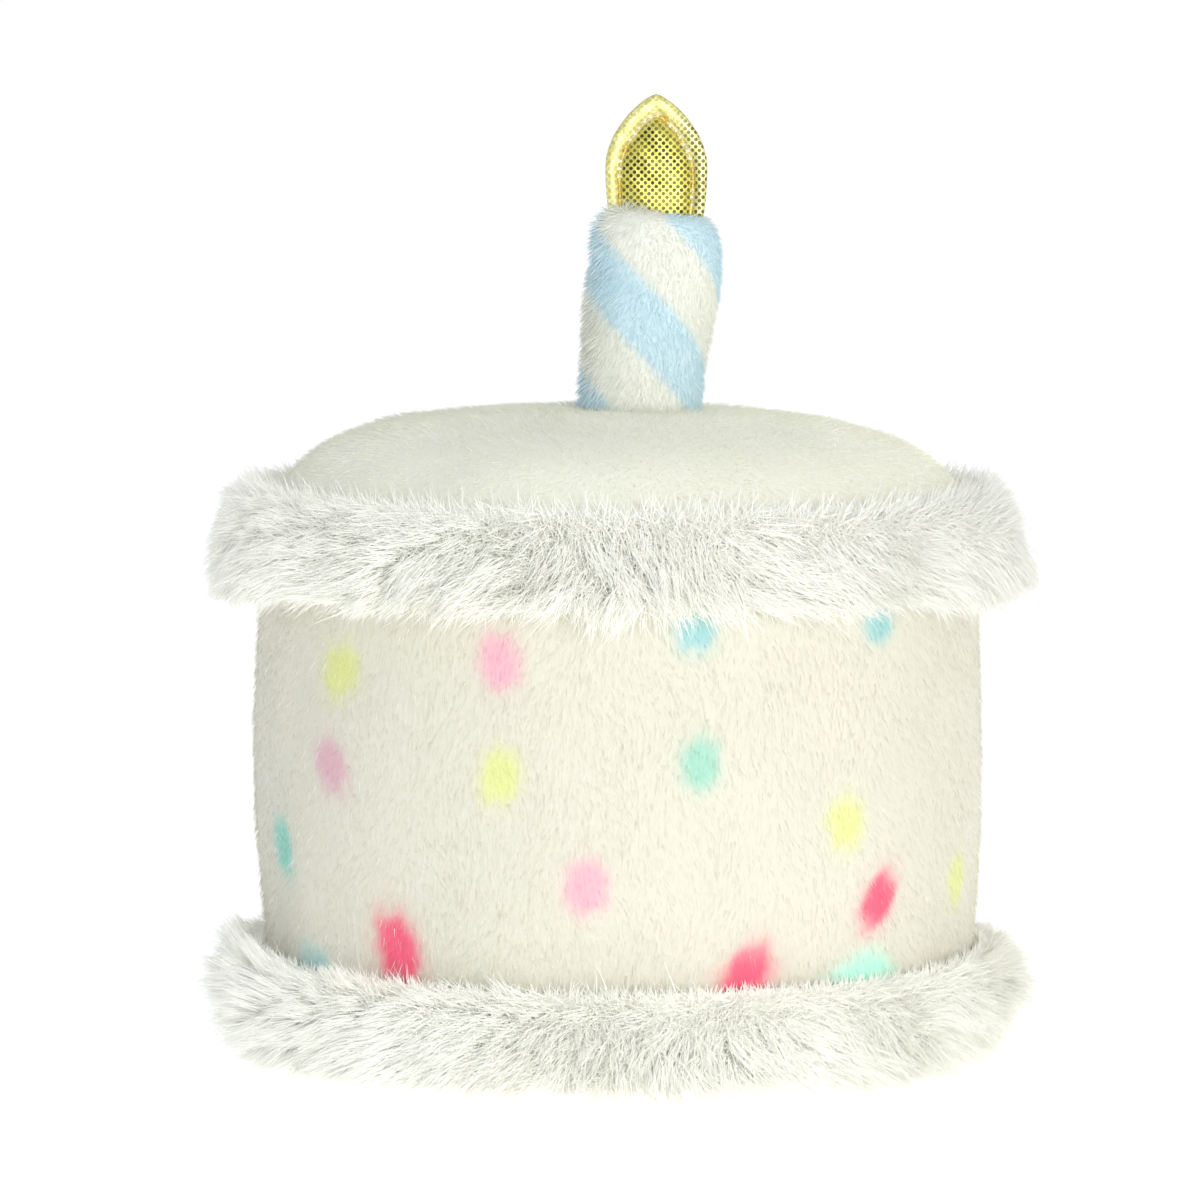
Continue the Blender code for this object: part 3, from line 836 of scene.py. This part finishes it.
def frill_fur(name, line, seed, clumps, count, widest, length, width, spring, gather, stray, fall, material):
    """Fur of one frill: strands that rise from the strip and gather to the tips of their clumps.

    fall tells how the fur lies: how far it hangs at the strip's low and high edge, how suddenly that changes
    (bend), how much shorter it is at the high edge (cut), how much longer where it is ruffled up, how far it
    hangs on the right and on the left, where on the strip its right side is longest (crest), how much darker
    its right is dyed as painted shade, how flat the front lies at the low edge, and how much longer it is there
    (drape).
    greyer it is on the right, how flat the front lies at the low edge, and how much longer it is there (drape).
    """
    draw = np.random.default_rng(seed)
    around = 2 * pi * 0.058
    # Clumps: even places round and across, moved at random
    rows = 7
    per_row = clumps // rows
    shares, turns = np.meshgrid((np.arange(rows) + 0.5) / rows, np.arange(per_row) / per_row, indexing="ij")
    shares = (shares + draw.uniform(-0.07, 0.07, shares.shape)).ravel()
    turns = (turns + draw.uniform(-0.45, 0.45, turns.shape) / per_row).ravel() * 2 * pi
    shares = shares.clip(0.01, 0.99)
    centre, centre_out = frill_place(line, turns, shares)
    sideways = np.stack([np.cos(turns), np.sin(turns), np.zeros(len(turns))], 1)
    down = np.array((0, 0, -1.0))
    # The front is brushed apart and flat, and the right hangs
    off = (turns + pi) % (2 * pi) - pi
    flat = np.exp(-((off - 0.25) / 1.0) ** 2)
    brushed = 0.45 * np.tanh(off / 0.30) * np.exp(-(off / 1.0) ** 2)
    sway = brushed + 0.36 * wander(centre, 0.028, seed + 1) + draw.normal(0, 0.13, len(turns))
    sag = fall["low"] + (fall["high"] - fall["low"]) * shares ** fall["bend"] + 0.16 * wander(centre, 0.022, seed + 2)
    sag = sag + (0.08 + 0.55 * shares) * flat + draw.normal(0, 0.08, len(turns))
    right, left = np.exp(-((off - 1.6) / 0.6) ** 2), np.exp(-((off + 1.6) / 0.5) ** 2)
    sag = sag + fall["right"] * right + fall["left"] * left
    sag = sag + 0.6 * np.exp(-((off - 0.9) / 0.4) ** 2) * shares ** 3
    pressed = 0.42 * flat * (fall["flat"] + (1 - fall["flat"]) * step_between(0.1, 0.5, shares))
    way = unit(centre_out * (0.95 - pressed)[:, None] + sideways * sway[:, None] + down * sag[:, None])
    reach = length * draw.uniform(0.88, 1.12, len(turns)) * (1 + 0.07 * wander(centre, 0.03, seed + 3))
    reach = reach * (1 - fall["cut"] * shares ** 4)
    # Ruffled up on the left, and drawn out to a crest on the right
    reach = reach * (1 + fall["ruffled"] * np.exp(-((off + 1.5) / 0.4) ** 2) * shares ** 2)
    reach = reach * (1 + fall["drape"] * flat * (1 - shares) ** 3)
    reach = reach * (1 + right * (0.70 * np.exp(-((shares - fall["crest"]) / 0.19) ** 2) - 0.30))
    goal = centre + way * reach[:, None]
    curl = sideways * draw.normal(0, 0.12, (len(turns), 1)) + down * draw.normal(0.02, 0.09, (len(turns), 1))
    # Tone differs at random from clump to clump, and painted shade darkens the fur towards the right
    tone = 1 + 0.012 * draw.normal(size=len(turns)) - fall["painted_shade_right"] * np.exp(-((off - 1.4) / 0.7) ** 2)

    shares_of = (np.arange(count) + draw.uniform(size=count)) / count
    shares_of = shares_of[draw.permutation(count)]
    turns_of = draw.uniform(0, 2 * pi, count)
    root, out = frill_place(line, turns_of, shares_of)
    own = nearest(root, centre)
    offset = root - centre[own]
    pull = gather * draw.uniform(0.75, 1.2, (count, 1)) * (1 - 0.5 * flat[own][:, None])
    own_length = draw.uniform(0.78, 1.08, (count, 1))
    loose = draw.uniform(size=(count, 1)) < stray
    own_length = np.where(loose, own_length * 1.12, own_length)
    tip = root + (goal[own] - centre[own]) * own_length - offset * pull
    tip += curl[own] * reach[own][:, None]
    tip += draw.normal(0, 1, (count, 3)) * (0.00030 + 0.0010 * flat[own])[:, None]
    tip += np.where(loose, draw.normal(0, 0.0018, (count, 3)), 0)
    rise = out * (0.55 + spring) + way[own] * (0.45 - spring)
    mid = root + unit(rise) * (reach[own] * 0.52)[:, None] * own_length - offset * pull * 0.30
    root = root - out * 0.0005
    thick = width * draw.uniform(0.7, 1.25, count)
    shade = tone[own][:, None] * (1 + 0.01 * draw.normal(size=(count, 1)))
    low = (FUR_WHITE * 0.99)[None] * shade
    high = FUR_WHITE[None] * shade
    low_z, high_z = root[:, 2].min(), root[:, 2].max()
    mesh = strands(
        name, widest, root, mid, tip, thick, (low.clip(0, 1), high.clip(0, 1)), round_map(root, low_z, high_z),
    )
    return add_piece(name, mesh, material)


def make_frill(name, node, line, seed, fall, length):
    """A backing strip on its seam, short dense down on it, and long fur over the down."""
    mesh = mesh_from(spun(strip_outline(line), 160, closed=True), name + "_strip")
    points = places(mesh)
    points = points + normals_of(mesh) * (0.00025 * wander(points, 0.008, seed))[:, None]
    move_to(mesh, points)
    colour_points(mesh, "dye", np.repeat((FUR_WHITE * 0.92)[None], len(points), 0))
    strip = add_piece(name + "_strip", mesh, backing_finish(name.replace("_", " ") + " backing", 0.2))
    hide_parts(node)
    fur = fibre_finish(name.replace("_", " ") + " fur", 0.0, 0.65, 600.0)
    frill_down(name + "_down", line, seed + 10, 37000, length * 0.80, 0.00028, fall["painted_shade_right"], fur)
    frill_fur(name + "_fur", line, seed + 20, 620, 31600, 0.42, length, 0.00018, 0.15, 0.34, 0.04, fall, fur)


def make_frills():
    rim = [point for point in dome_outline(18) if point[0] >= TOP_FRILL_INNER_RADIUS]
    line = side_outline(TOP_FRILL_LOW_Z, SEAM_HIGH_Z, 6)[:-1] + rim
    # The top frill's fur is dyed darker on its right as painted shade
    fall = dict(low=0.30, high=-0.10, bend=1.0, cut=0.24, ruffled=-0.10, right=0.80, left=0.42, crest=0.38,
                painted_shade_right=0.13, flat=1.0, drape=0.0)
    make_frill("top_frill_trim", "top_frill", line, 100, fall, 0.0070)
    turned_up = [point for point in base_outline(12) if point[0] >= BOTTOM_FRILL_INNER_RADIUS]
    line = turned_up[:-1] + side_outline(SEAM_LOW_Z, BOTTOM_FRILL_HIGH_Z, 6)
    # The bottom frill's fur is dyed a little darker on its right as painted shade
    fall = dict(low=0.14, high=-1.15, bend=4.0, cut=0.38, ruffled=0.8, right=0.0, left=0.0, crest=0.70,
                painted_shade_right=0.06, flat=0.0, drape=0.45)
    make_frill("bottom_frill_trim", "bottom_frill", line, 200, fall, 0.0066)


# ---- Candle ----

def candle_turn():
    foot = Vector((CANDLE_FOOT_X, 0, CANDLE_FOOT_Z))
    return Matrix.Translation(foot) @ Matrix.Rotation(CANDLE_LEAN, 4, "Y")


def candle_outline():
    spare = CANDLE_RADIUS * sin(CANDLE_LEAN) * 1.5 + 0.002
    straight = CANDLE_LENGTH - CANDLE_SHOULDER
    outline = [(0.0, -spare), (CANDLE_RADIUS * 0.5, -spare), (CANDLE_RADIUS, -spare)]
    for step in range(33):
        share = step / 32
        swell = CANDLE_SWELL * share * share * (3 - 2 * share)
        outline.append((CANDLE_RADIUS + swell, straight * share))
    wide = CANDLE_RADIUS + CANDLE_SWELL
    for step in range(1, 11):
        angle = pi / 2 * step / 10
        radius = CANDLE_CROWN_RADIUS + (wide - CANDLE_CROWN_RADIUS) * cos(angle)
        outline.append((radius, straight + CANDLE_SHOULDER * sin(angle)))
    for share in (0.8, 0.6, 0.4, 0.2):
        outline.append((CANDLE_CROWN_RADIUS * share, CANDLE_LENGTH))
    return outline + [(0.0, CANDLE_LENGTH)]


def keep_above(bm, point, normal):
    """Slices a closed shape by a plane and closes what is left on the normal's side."""
    everything = bm.verts[:] + bm.edges[:] + bm.faces[:]
    sliced = bmesh.ops.bisect_plane(
        bm, geom=everything, plane_co=point, plane_no=normal, clear_inner=True
    )
    rim = [item for item in sliced["geom_cut"] if isinstance(item, bmesh.types.BMEdge)]
    bmesh.ops.holes_fill(bm, edges=rim, sides=0)


def on_candle(points):
    """Turn round the candle from its front, and height along it."""
    back = np.array(candle_turn().inverted())
    own = points @ back[:3, :3].T + back[:3, 3]
    return np.arctan2(own[:, 0], -own[:, 1]), own[:, 2]


def make_candle():
    bm = spun(shrunk(candle_outline(), CANDLE_PILE), 96)
    bmesh.ops.transform(bm, matrix=candle_turn(), verts=bm.verts)
    keep_above(bm, (0, 0, 0.0994), (0, 0, 1))
    mesh = mesh_from(bm, "candle_tube")
    points, normals = places(mesh), normals_of(mesh)
    turn, height = on_candle(points)
    lumps = 0.00022 * wander(points, 0.014, 8) + 0.00008 * wander(points, 0.005, 9)
    # The tube's own seam, drawn in down the back
    off_seam = np.abs((turn + 2 * pi) % (2 * pi) - pi) * CANDLE_RADIUS
    seam = -0.0007 * np.exp(-(off_seam / 0.0007) ** 2)
    points = points + normals * (lumps + seam)[:, None]
    move_to(mesh, points)
    colour_points(mesh, "dye", stripe_at(*on_candle(points)))
    tube = add_piece("candle_tube", mesh, backing_finish("candle plush", 0.3))
    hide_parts("candle")

    def wanted(middle):
        return middle[:, 2] > 0.0998

    points, normals = scattered(mesh, 13000, 61, wanted)
    turn, height = on_candle(points)
    laid = np.stack([turn / (2 * pi) + 0.5, 0.01 + 0.97 * np.clip(height / 0.031, 0, 1)], 1)
    # Ruffled on its left, with some fibres dyed paler as painted highlights where fibres catch the light
    ruffled = np.exp(-((turn + 1.35) / 0.55) ** 2)
    dye = stripe_at(turn, height)
    painted_glint = np.random.default_rng(62).uniform(size=len(points)) < 0.05 + 0.20 * ruffled
    dye[painted_glint] = dye[painted_glint] * 0.45 + FUR_WHITE * 0.55
    add_pile(
        "candle_pile", points, normals, dye, 0.0017 + 0.0011 * ruffled,
        0.00017 + 0.00009 * ruffled, 0.75, -0.30, 0.50 + 0.20 * ruffled,
        fibre_finish("candle pile", 0.3, 0.7, 900.0), laid, 0.03 + 0.05 * ruffled,
    )


# ---- Flame ----

def flame_half_width(share):
    if share < 0.6:
        return FLAME_HALF_WIDTH * sin(pi / 2 * share / 0.6) ** 0.7
    return FLAME_HALF_WIDTH * (1 - 0.07 * ((share - 0.6) / 0.4) ** 2)


def flame_outline(steps):
    shares = [(step / steps) ** 1.35 for step in range(1, steps + 1)]
    right = [(flame_half_width(share), FLAME_HEIGHT * (1 - share)) for share in shares]
    left = [(-x, z) for x, z in right]
    return left[::-1] + [(0.0, FLAME_HEIGHT)] + right


FLAME_RINGS = (
    (1.0, 0.0), (0.975, 0.00022), (0.93, 0.00036), (0.88, 0.00042), (0.83, 0.00040), (0.785, 0.00026),
    (0.755, 0.00006), (0.735, -0.00006), (0.71, -0.00006), (0.69, 0.00008), (0.66, 0.00036), (0.61, 0.00070),
    (0.53, 0.00103), (0.42, 0.00124), (0.30, 0.00138), (0.15, 0.00142),
)
FLAME_GROOVE = 0.722


def ring_height(share):
    """Rings draw in less from the flame's tip than from its sides."""
    return 1 - 0.62 * (1 - share)


def ring_share(place):
    """Which ring of the flame goes through this place: 1 at its edge, and less further in."""
    low, high = 0.1, 1.0
    for _ in range(20):
        middle = (low + high) / 2
        x, z = place.x / middle, place.z / ring_height(middle)
        inside = z < FLAME_HEIGHT and abs(x) <= flame_half_width(max(1 - z / FLAME_HEIGHT, 0.0))
        low, high = (low, middle) if inside else (middle, high)
    return high


def make_flame():
    """A padded leaf of gold cloth: piped border, stitched groove and a full middle, alike on both sides."""
    bm = bmesh.new()
    crown = candle_turn() @ Vector((0, 0, CANDLE_LENGTH))
    half = 0.0005
    corners = [bm.verts.new((x, -half, z)) for x, z in flame_outline(34)]
    front = bmesh.ops.contextual_create(bm, geom=corners)["faces"][0]
    made = bmesh.ops.extrude_face_region(bm, geom=[front], use_keep_orig=True)["geom"]
    back = next(item for item in made if isinstance(item, bmesh.types.BMFace))
    far = [item for item in made if isinstance(item, bmesh.types.BMVert)]
    bmesh.ops.translate(bm, verts=far, vec=(0, 2 * half, 0))
    bmesh.ops.recalc_face_normals(bm, faces=bm.faces)
    for face, outward in ((front, -1), (back, 1)):
        size_now, rise_now = FLAME_RINGS[0]
        for size, rise in FLAME_RINGS[1:]:
            grown = bmesh.ops.extrude_face_region(bm, geom=[face])
            bmesh.ops.delete(bm, geom=[face], context="FACES_ONLY")
            face = next(item for item in grown["geom"] if isinstance(item, bmesh.types.BMFace))
            bmesh.ops.scale(
                bm, verts=face.verts, vec=(size / size_now, 1.0, ring_height(size) / ring_height(size_now))
            )
            bmesh.ops.translate(bm, verts=face.verts, vec=(0, outward * (rise - rise_now), 0))
            size_now, rise_now = size, rise
        bmesh.ops.triangulate(bm, faces=[face])
    # Puckers: the cloth draws in beside each stitch of the groove
    for vert in bm.verts:
        near = np.exp(-((ring_share(vert.co) - FLAME_GROOVE) / 0.085) ** 2)
        turn = 33.0 * np.arctan2(vert.co.x, max(vert.co.z, 1e-9) + 0.004)
        vert.co.y *= 1 - 0.38 * near * (0.5 + 0.5 * sin(turn)) - 0.06 * sin(vert.co.x * 1900 + vert.co.z * 900)
    layer = bm.verts.layers.float_color.new("leaf")
    for vert in bm.verts:
        size = ring_share(vert.co)
        border = float(step_between(FLAME_GROOVE - 0.02, FLAME_GROOVE + 0.05, size))
        seam = float(np.exp(-((size - FLAME_GROOVE) / 0.05) ** 2))
        vert[layer] = (border, seam, 0.5 + 0.5 * vert.co.x / FLAME_HALF_WIDTH, 1.0)
    drop = FLAME_HALF_WIDTH * sin(CANDLE_LEAN) * 1.3
    shift = Vector((crown.x + FLAME_SHIFT_X, 0, crown.z - drop))
    bmesh.ops.translate(bm, verts=bm.verts, vec=shift)
    axis = Vector((sin(CANDLE_LEAN), 0, cos(CANDLE_LEAN)))
    keep_above(bm, crown - axis * 0.0007, axis)
    bmesh.ops.recalc_face_normals(bm, faces=bm.faces)
    leaf = add_piece("flame_leaf", mesh_from(bm, "flame_leaf"), lame_finish())
    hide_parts("flame")
    make_flame_stitching(shift, crown.z)


def make_flame_stitching(shift, foot):
    """Short stitches of gold thread in the groove, front and back."""
    outline = np.array(flame_outline(60)) * (FLAME_GROOVE, ring_height(FLAME_GROOVE))
    gaps = np.linalg.norm(np.diff(outline, axis=0), axis=1)
    marks = np.concatenate([[0], np.cumsum(gaps)])
    pitch = 0.0012
    starts = np.arange(0.0004, marks[-1] - pitch, pitch)
    bm = bmesh.new()
    for side in (-1, 1):
        for start in starts:
            ends = []
            for mark in (start, start + pitch * 0.72):
                x = np.interp(mark, marks, outline[:, 0])
                z = np.interp(mark, marks, outline[:, 1])
                ends.append(Vector((x, side * 0.00062, z)) + shift)
            if min(ends[0].z, ends[1].z) < foot + 0.0004:
                continue
            way = ends[1] - ends[0]
            stitch = bmesh.ops.create_uvsphere(bm, u_segments=6, v_segments=4, radius=0.5)["verts"]
            turn = Vector((0, 0, 1)).rotation_difference(way.normalized()).to_matrix().to_4x4()
            size = Matrix.Diagonal((0.00042, 0.00034, way.length * 1.15, 1))
            bmesh.ops.transform(bm, matrix=Matrix.Translation((ends[0] + ends[1]) / 2) @ turn @ size, verts=stitch)
    bmesh.ops.recalc_face_normals(bm, faces=bm.faces)
    return add_piece("flame_stitching", mesh_from(bm, "flame_stitching"), thread_finish())


# ---- Stage ----

def make_stage():
    bm = bmesh.new()
    bmesh.ops.create_grid(bm, x_segments=1, y_segments=1, size=6.0)
    floor = bpy.data.objects.new("floor", mesh_from(bm, "floor"))
    bpy.context.scene.collection.objects.link(floor)
    made = Finish("white sweep", roughness=1.0, specular=0.0)
    tone = made.spread(made.noise(made.place(), 3.0, 1.0), 0.3, 0.7, 0.985, 1.0)
    white = made.node("CombineColor")
    for key in ("Red", "Green", "Blue"):
        made.join(tone, white.inputs[key])
    made.join(white.outputs["Color"], made.shader.inputs["Base Color"])
    made.shader.inputs["Emission Color"].default_value = (1, 1, 1, 1)
    made.shader.inputs["Emission Strength"].default_value = 0.42
    floor.data.materials.append(made.material)


def add_light(name, place, aim, size, power, spread=180):
    data = bpy.data.lights.new(name, "AREA")
    data.spread = radians(spread)
    data.shape = "DISK"
    data.size = size
    data.energy = power
    light = bpy.data.objects.new(name, data)
    light.location = place
    light.rotation_euler = (Vector(aim) - Vector(place)).to_track_quat("-Z", "Y").to_euler()
    bpy.context.scene.collection.objects.link(light)


def make_light_and_camera():
    middle = (0, 0, 0.07)
    add_light("front", (0.32, -1.27, 0.14), middle, 0.6, FRONT_LIGHT)
    add_light("key", (0.95, -0.85, 0.30), middle, 0.8, 0.8)
    # A small lamp near the ground fills the foot's shadows
    add_light("foot", (0.10, -0.90, 0.05), (0.030, -0.06, -0.018), 0.10, 0.0075, 14)
    world = bpy.data.worlds.new("white room")
    world.use_nodes = True
    nodes, links = world.node_tree.nodes, world.node_tree.links
    # A white room with a cool window on its left, seen by the camera as plain white
    way = nodes.new("ShaderNodeTexCoord")
    parts = nodes.new("ShaderNodeSeparateXYZ")
    from_left = nodes.new("ShaderNodeMapRange")
    from_left.inputs["From Min"].default_value = -0.9
    from_left.inputs["From Max"].default_value = 0.5
    room = nodes.new("ShaderNodeMixRGB")
    room.inputs["Color1"].default_value = (0.895, 0.955, 1.08, 1)
    room.inputs["Color2"].default_value = (1.03, 1.01, 0.98, 1)
    seen = nodes.new("ShaderNodeLightPath")
    plain = nodes.new("ShaderNodeMixRGB")
    plain.inputs["Color2"].default_value = (1, 1, 1, 1)
    strength = nodes.new("ShaderNodeMapRange")
    strength.inputs["To Min"].default_value = WORLD_LIGHT
    strength.inputs["To Max"].default_value = 1.02
    links.new(way.outputs["Generated"], parts.inputs["Vector"])
    links.new(parts.outputs["X"], from_left.inputs["Value"])
    links.new(from_left.outputs["Result"], room.inputs["Fac"])
    links.new(room.outputs["Color"], plain.inputs["Color1"])
    links.new(seen.outputs["Is Camera Ray"], plain.inputs["Fac"])
    links.new(plain.outputs["Color"], nodes["Background"].inputs["Color"])
    links.new(seen.outputs["Is Camera Ray"], strength.inputs["Value"])
    links.new(strength.outputs["Result"], nodes["Background"].inputs["Strength"])
    scene = bpy.context.scene
    scene.world = world
    data = bpy.data.cameras.new("camera")
    data.lens = 193.03
    data.sensor_width = 36.0
    data.clip_end = 50.0
    camera = bpy.data.objects.new("camera", data)
    camera.location = (-0.00312, -1.0, 0.157)
    aim = Vector((-0.00312, 0.0, 0.0702))
    camera.rotation_euler = (aim - camera.location).to_track_quat("-Z", "Y").to_euler()
    scene.collection.objects.link(camera)
    scene.camera = camera
    scene.cycles.diffuse_bounces = 7
    scene.view_settings.view_transform = "Standard"
    scene.view_settings.look = "None"


def main():
    skin, panels = make_body()
    make_pile(skin)
    make_frills()
    make_candle()
    make_flame()
    make_stage()
    make_light_and_camera()


main()
